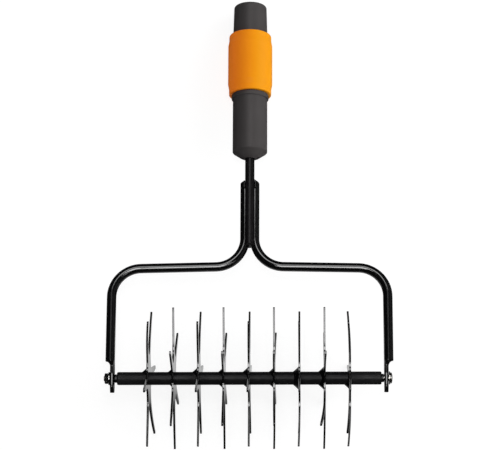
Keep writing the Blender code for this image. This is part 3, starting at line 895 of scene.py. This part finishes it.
def make_nut():
    """A hexagon nut with turned chamfers at both faces and a bevelled bore."""
    low, high = nut_low.x, nut_high.x
    corner = nut_across_flats / math.sqrt(3)
    nut = turned("axle_nut_fine", [(corner, low - cut_surplus), (corner, high + cut_surplus)], hexagon)
    face = nut_across_flats / 2 * nut_face
    wide, slope = corner + nut_chamfer, nut_chamfer * nut_chamfer_slope
    outline = [(face, high), (wide, high - slope), (wide, low + slope), (face, low)]
    carve(nut, turned("rounding", outline, rounding_steps), "INTERSECT")
    bore = axle_radius + nut_thread_gap
    mouth = axle_radius + nut_bevel
    hole = [(mouth + cut_surplus, low - cut_surplus), (mouth, low), (bore, low + nut_bevel)]
    hole += [(bore, high - nut_bevel), (mouth, high), (mouth + cut_surplus, high + cut_surplus)]
    carve(nut, turned("hole", hole, turned_steps))
    piece(placed(nut, tool @ along_x), "frame", "zinc_steel", zinc_steel, "axle_nut")


def make_washer(name, side):
    """A stamped washer: its outer face is rounded at the rim, and the other keeps its sharp edge."""
    inner, outer = washer_low.x, washer_high.x
    bore = axle_radius + seat_gap
    radius = washer_high.z
    corners = [(bore, outer), (radius, outer), (radius, inner), (bore, inner)]
    outline = softened(corners, (washer_bore_round, washer_rim_round, washer_edge, washer_edge))
    washer = turned(name + "_fine", outline, turned_steps, closed=True)
    turn = Matrix.Rotation(side * math.pi / 2, 4, "Y")
    piece(placed(washer, tool @ turn), "frame", "zinc_steel", zinc_steel, name)


def box(name, size, place, edge):
    """A box with rounded edges, about a place."""
    mesh = bpy.data.meshes.new(name)
    cube = bmesh.new()
    bmesh.ops.create_cube(cube, size=1.0)
    bmesh.ops.scale(cube, vec=size, verts=cube.verts)
    bmesh.ops.translate(cube, vec=place, verts=cube.verts)
    bmesh.ops.bevel(cube, geom=cube.edges[:], offset=edge, segments=3, affect="EDGES", profile=0.5)
    cube.to_mesh(mesh)
    cube.free()
    return shape_of(name, mesh)


def dimple(angle, radius, height):
    """The spigot's radius where a shallow oval is pressed into it, near its end."""
    # The side that faces up is at -90 degrees, and the right is at 0.
    across = (angle - (2 * math.pi - math.pi / 2 + dimple_turn)) * neck_radius
    along = height - (neck_high.y - dimple_from_end)
    reach = math.hypot(across / dimple_half_size[0], along / dimple_half_size[1])
    if radius < neck_radius * dimple_skin or reach > dimple_edge:
        return radius
    return radius - dimple_depth * ease((dimple_edge - reach) / dimple_slope)


def make_neck():
    """The neck moulding: sleeve with its foot, flange, the body in the collar, and the spigot."""
    foot, top = neck_low.y, neck_high.y - clearance
    collar_foot, collar_top = collar_low.y, collar_high.y
    flange_top = collar_foot - seat_gap
    flange_foot = flange_top - flange_length
    flange = neck_radius + flange_step
    ring_place = collar_top - ring_below_top
    groove_floor = neck_radius + collar_bore_gap / 2 - ring_groove
    spigot_foot = top - spigot_length
    tip = neck_radius - spigot_taper
    bore = rod_radius + seat_gap
    bore_end = stem_high.y + seat_gap
    outline = [(middle_flat, top)]
    outline += arc((tip - spigot_round, top - spigot_round), spigot_round, 90, 0, spigot_round_steps)
    round_end = top - spigot_round
    for step in range(1, spigot_steps):
        share = step / spigot_steps
        outline.append((tip + spigot_taper * share, round_end + (spigot_foot - round_end) * share))
    outline += [(neck_radius, spigot_foot), (neck_radius, ring_place + ring_groove)]
    outline += [(groove_floor, ring_place + ring_groove), (groove_floor, ring_place - ring_groove)]
    outline += [(neck_radius, ring_place - ring_groove), (neck_radius, flange_top)]
    corner_out = (flange, flange_foot + flange_chamfer)
    corner_in = (flange - flange_chamfer, flange_foot)
    outline += [(flange - small_round, flange_top), (flange, flange_top - small_round), corner_out]
    outline += rounded(corner_in, corner_out, (neck_radius, flange_foot), small_round)
    outline += [(neck_radius + flange_fillet[0], flange_foot), (neck_radius, flange_foot - flange_fillet[1])]
    shoulder = (neck_radius, foot + foot_boss_height + foot_chamfer)
    foot_edge = (neck_radius - foot_taper, foot + foot_boss_height)
    boss_edge = (bore + foot_boss_wall, foot)
    outline += rounded(shoulder, (neck_radius, flange_foot), foot_edge, rim_round, rim_round_steps)
    outline += rounded(foot_edge, shoulder, boss_edge, foot_edge_round)
    outline += rounded(boss_edge, foot_edge, (bore, foot), foot_boss_round)
    outline += [(bore + foot_boss_round, foot), (bore, foot + foot_boss_round)]
    outline += [(bore, bore_end), (middle_flat, bore_end)]
    neck = turned("neck_fine", outline, neck_steps, relief=dimple)
    slot_size = (foot_slot_width, foot_slot_height, foot_slot_depth * 2)
    for side in (-1, 1):
        carve(neck, box("slot", slot_size, (side * foot_slot_place, 0.0, foot), foot_slot_round))
    drill(neck, pin_radius + seat_gap, neck_radius * 2, pin_place, pin_hole_sides)
    piece(placed(neck, neck_axis), "frame", "neck_plastic", neck_plastic, "neck")


def make_collar():
    """The lock collar, with a soft rim and slope at each end and the ring's groove in its bore."""
    foot, top = collar_low.y, collar_high.y
    radius = (collar_high.x - collar_low.x) / 2 - clearance
    rim = radius - collar_rim_drop
    bore = neck_radius + collar_bore_gap
    ring_place = top - ring_below_top
    groove_roof = neck_radius + collar_bore_gap / 2 + ring_groove
    slope_top, slope_foot = top - collar_rim_length, foot + collar_rim_length
    groove_top, groove_foot = ring_place + ring_groove, ring_place - ring_groove
    corners = [(bore, top), (rim, top), (rim, slope_top), (radius, slope_top - collar_slope_length)]
    corners += [(radius, slope_foot + collar_slope_length), (rim, slope_foot), (rim, foot), (bore, foot)]
    corners += [(bore, groove_foot), (groove_roof, groove_foot)]
    corners += [(groove_roof, groove_top), (bore, groove_top)]
    slope = collar_slope_round
    rounds = (collar_bore_round, collar_top_round, slope, slope, slope, slope, collar_foot_round, small_round)
    outline = softened(corners, rounds + (0, 0, 0, 0))
    collar = turned("lock_collar_fine", outline, neck_steps, closed=True)
    piece(placed(collar, neck_axis), "collar", "collar_plastic", collar_plastic, "lock_collar")


class Light:
    """The nodes of a surface or world that glows differently to the camera and to mirroring surfaces."""

    def __init__(self, owner):
        owner.use_nodes = True
        self.tree = owner.node_tree
        self.tree.nodes.clear()
        self.rays = self.node("ShaderNodeLightPath").outputs
        self.seen = self.maths("MAXIMUM", self.rays["Is Camera Ray"], self.rays["Is Transmission Ray"])

    def node(self, kind):
        return self.tree.nodes.new(kind)

    def link(self, output, target):
        self.tree.links.new(output, target)

    def feed(self, socket, value):
        """Gives the socket a number or another node's output."""
        if isinstance(value, float):
            socket.default_value = value
        else:
            self.link(value, socket)

    def maths(self, operation, first, second=0.0):
        node = self.node("ShaderNodeMath")
        node.operation = operation
        self.feed(node.inputs[0], first)
        self.feed(node.inputs[1], second)
        return node.outputs["Value"]

    def product(self, first, *others):
        for other in others:
            first = self.maths("MULTIPLY", first, other)
        return first

    def ramp(self, value, *ends):
        """The value carried over to another range, eased at both ends."""
        node = ranged(self.tree, value, *ends)
        node.interpolation_type = "SMOOTHSTEP"
        return node.outputs["Result"]

    def band(self, value, start, full, fade, end):
        """1 between full and fade, which eases to 0 at the start and at the end."""
        return self.product(self.ramp(value, start, full, 0.0, 1.0), self.ramp(value, fade, end, 1.0, 0.0))

    def choose(self, share, first, second):
        """The first value where the share is 0 and the second where it is 1."""
        node = self.node("ShaderNodeMix")
        self.link(share, node.inputs["Factor"])
        self.feed(node.inputs["A"], first)
        self.feed(node.inputs["B"], second)
        return node.outputs["Result"]

    def parts(self, place):
        node = self.node("ShaderNodeSeparateXYZ")
        self.link(place, node.inputs["Vector"])
        return node.outputs["X"], node.outputs["Y"], node.outputs["Z"]


def floor_surface():
    """The floor's material, which is clear from below, so that views from there are free."""
    material = bpy.data.materials.new("floor")
    light = Light(material)
    x, y, _ = light.parts(light.node("ShaderNodeTexCoord").outputs["Object"])
    # Painted reflection: for mirrors the floor glows in a patch under the wheels, dimmer in front of the axle
    # as painted shadow.
    from_axle = light.maths("SUBTRACT", y, axle.y)
    across = light.ramp(light.maths("ABSOLUTE", x), *painted_reflection_across, 1.0, 0.0)
    along = light.ramp(light.maths("ABSOLUTE", from_axle), *painted_reflection_along, 1.0, 0.0)
    white = light.ramp(from_axle, *painted_shadow_from_axle, floor_mirrored["lower"], floor_mirrored["upper"])
    mirrored = light.product(across, along, white)
    glossy = light.rays["Is Glossy Ray"]
    emission = light.node("ShaderNodeEmission")
    glow = light.choose(glossy, light.product(light.seen, floor_glow), mirrored)
    light.link(glow, emission.inputs["Strength"])
    diffuse = light.node("ShaderNodeBsdfDiffuse")
    colour = light.choose(light.rays["Is Diffuse Ray"], floor_colour, floor_bounce)
    light.link(light.choose(glossy, colour, floor_mirrored["plain"]), diffuse.inputs["Color"])
    both = light.node("ShaderNodeAddShader")
    light.link(emission.outputs["Emission"], both.inputs[0])
    light.link(diffuse.outputs["BSDF"], both.inputs[1])
    below = light.node("ShaderNodeNewGeometry").outputs["Backfacing"]
    either = light.node("ShaderNodeMixShader")
    light.link(light.maths("MAXIMUM", below, light.rays["Is Shadow Ray"]), either.inputs["Fac"])
    light.link(both.outputs["Shader"], either.inputs[1])
    light.link(light.node("ShaderNodeBsdfTransparent").outputs["BSDF"], either.inputs[2])
    light.link(either.outputs["Shader"], light.node("ShaderNodeOutputMaterial").inputs["Surface"])
    material.cycles.emission_sampling = "NONE"
    return material


def make_floor():
    """A white floor under the head."""
    mesh = bpy.data.meshes.new("floor")
    corners = [(x * floor_half, y * floor_half, 0.0) for x, y in ((-1, -1), (1, -1), (1, 1), (-1, 1))]
    mesh.from_pydata(corners, [], [(0, 1, 2, 3)])
    floor = bpy.data.objects.new("floor", mesh)
    bpy.context.scene.collection.objects.link(floor)
    mesh.materials.append(floor_surface())


def make_world():
    """A dim studio with a broad light at the right, which the camera sees as white."""
    world = bpy.data.worlds.new("studio")
    bpy.context.scene.world = world
    light = Light(world)
    sky = light.node("ShaderNodeTexCoord").outputs["Generated"]
    x, y, z = light.parts(sky)
    toward = light.node("ShaderNodeVectorMath")
    toward.operation = "DOT_PRODUCT"
    light.link(sky, toward.inputs[0])
    toward.inputs[1].default_value = key_direction
    brightest = soft_light["base"] + soft_light["key"]
    soft = light.ramp(toward.outputs["Value"], key_edge, 1.0, soft_light["base"], brightest)
    strip = light.ramp(y, *strip_bright_from, mirrored_light["faint"], mirrored_light["strip"])
    narrow = light.ramp(light.maths("ABSOLUTE", x), *strip_half_width, 1.0, 0.0)
    strip = light.product(strip, narrow, light.band(y, *strip_along_y))
    overhead = light.product(light.band(y, *overhead_along_y), light.band(x, *overhead_along_x))
    overhead = light.product(overhead, mirrored_light["overhead"])
    strips = light.product(light.maths("ADD", strip, overhead), light.ramp(z, *above_horizon, 0.0, 1.0))
    base, right = mirrored_light["base"], mirrored_light["right"]
    mirrored = light.maths("ADD", light.ramp(x, *right_side, base, base + right), strips)
    lit = light.choose(light.rays["Is Glossy Ray"], soft, mirrored)
    background = light.node("ShaderNodeBackground")
    background.inputs["Color"].default_value = (1.0, 1.0, 1.0, 1.0)
    light.link(light.maths("MAXIMUM", lit, light.seen), background.inputs["Strength"])
    light.link(background.outputs["Background"], light.node("ShaderNodeOutputWorld").inputs["Surface"])
    world.cycles.sampling_method = "NONE"


def make_lamp(name, place, size, radiance):
    """A plain rectangular lamp that faces the head. Its power follows from its size and brightness."""
    light = bpy.data.lights.new(name, "AREA")
    light.shape = "RECTANGLE"
    light.size, light.size_y = size
    light.energy = radiance * math.pi * size[0] * size[1]
    lamp = bpy.data.objects.new(name, light)
    bpy.context.scene.collection.objects.link(lamp)
    down = (lamp_aim - Vector(place)).normalized()
    upward = Vector((1.0, 0.0, 0.0)).cross(down).normalized()
    side = down.cross(upward)
    turn = Matrix((side, upward, -down)).transposed().to_4x4()
    lamp.matrix_world = Matrix.Translation(place) @ turn


def make_camera():
    """The camera above the head, a little to its right and its front."""
    data = bpy.data.cameras.new("camera")
    data.lens = camera_lens
    camera = bpy.data.objects.new("camera", data)
    bpy.context.scene.collection.objects.link(camera)
    ahead = (camera_aim - camera_place).normalized()
    right = ahead.cross(Vector((0.0, 1.0, 0.0))).normalized()
    upward = right.cross(ahead)
    turn = Matrix((right, upward, -ahead)).transposed().to_4x4()
    camera.matrix_world = Matrix.Translation(camera_place) @ turn
    bpy.context.scene.camera = camera


make_camera()
make_yoke_rod("yoke_rod_left", -1)
make_yoke_rod("yoke_rod_right", 1)
make_stem()
make_crotch_weld()
make_top_weld("top_weld_left")
make_top_weld("top_weld_right")
make_tube()
for number in range(1, 10):
    make_wheel(number)
make_bush("end_bush_left", -1)
make_bush("end_bush_right", 1)
make_axle_bolt()
make_nut()
make_washer("washer_left", -1)
make_washer("washer_right", 1)
make_neck()
make_collar()

# The pin and the ring lie inside, so the frame's own pieces stay.
for hidden in ("neck_pin", "retaining_ring"):
    node = frame["nodes"][hidden]
    node.data.materials.clear()
    node.data.materials.append(zinc_steel)
make_floor()
make_world()
make_lamp("front_lamp", **front_lamp)
make_lamp("under_lamp", **under_lamp)
bpy.context.scene.view_settings.view_transform = "Standard"
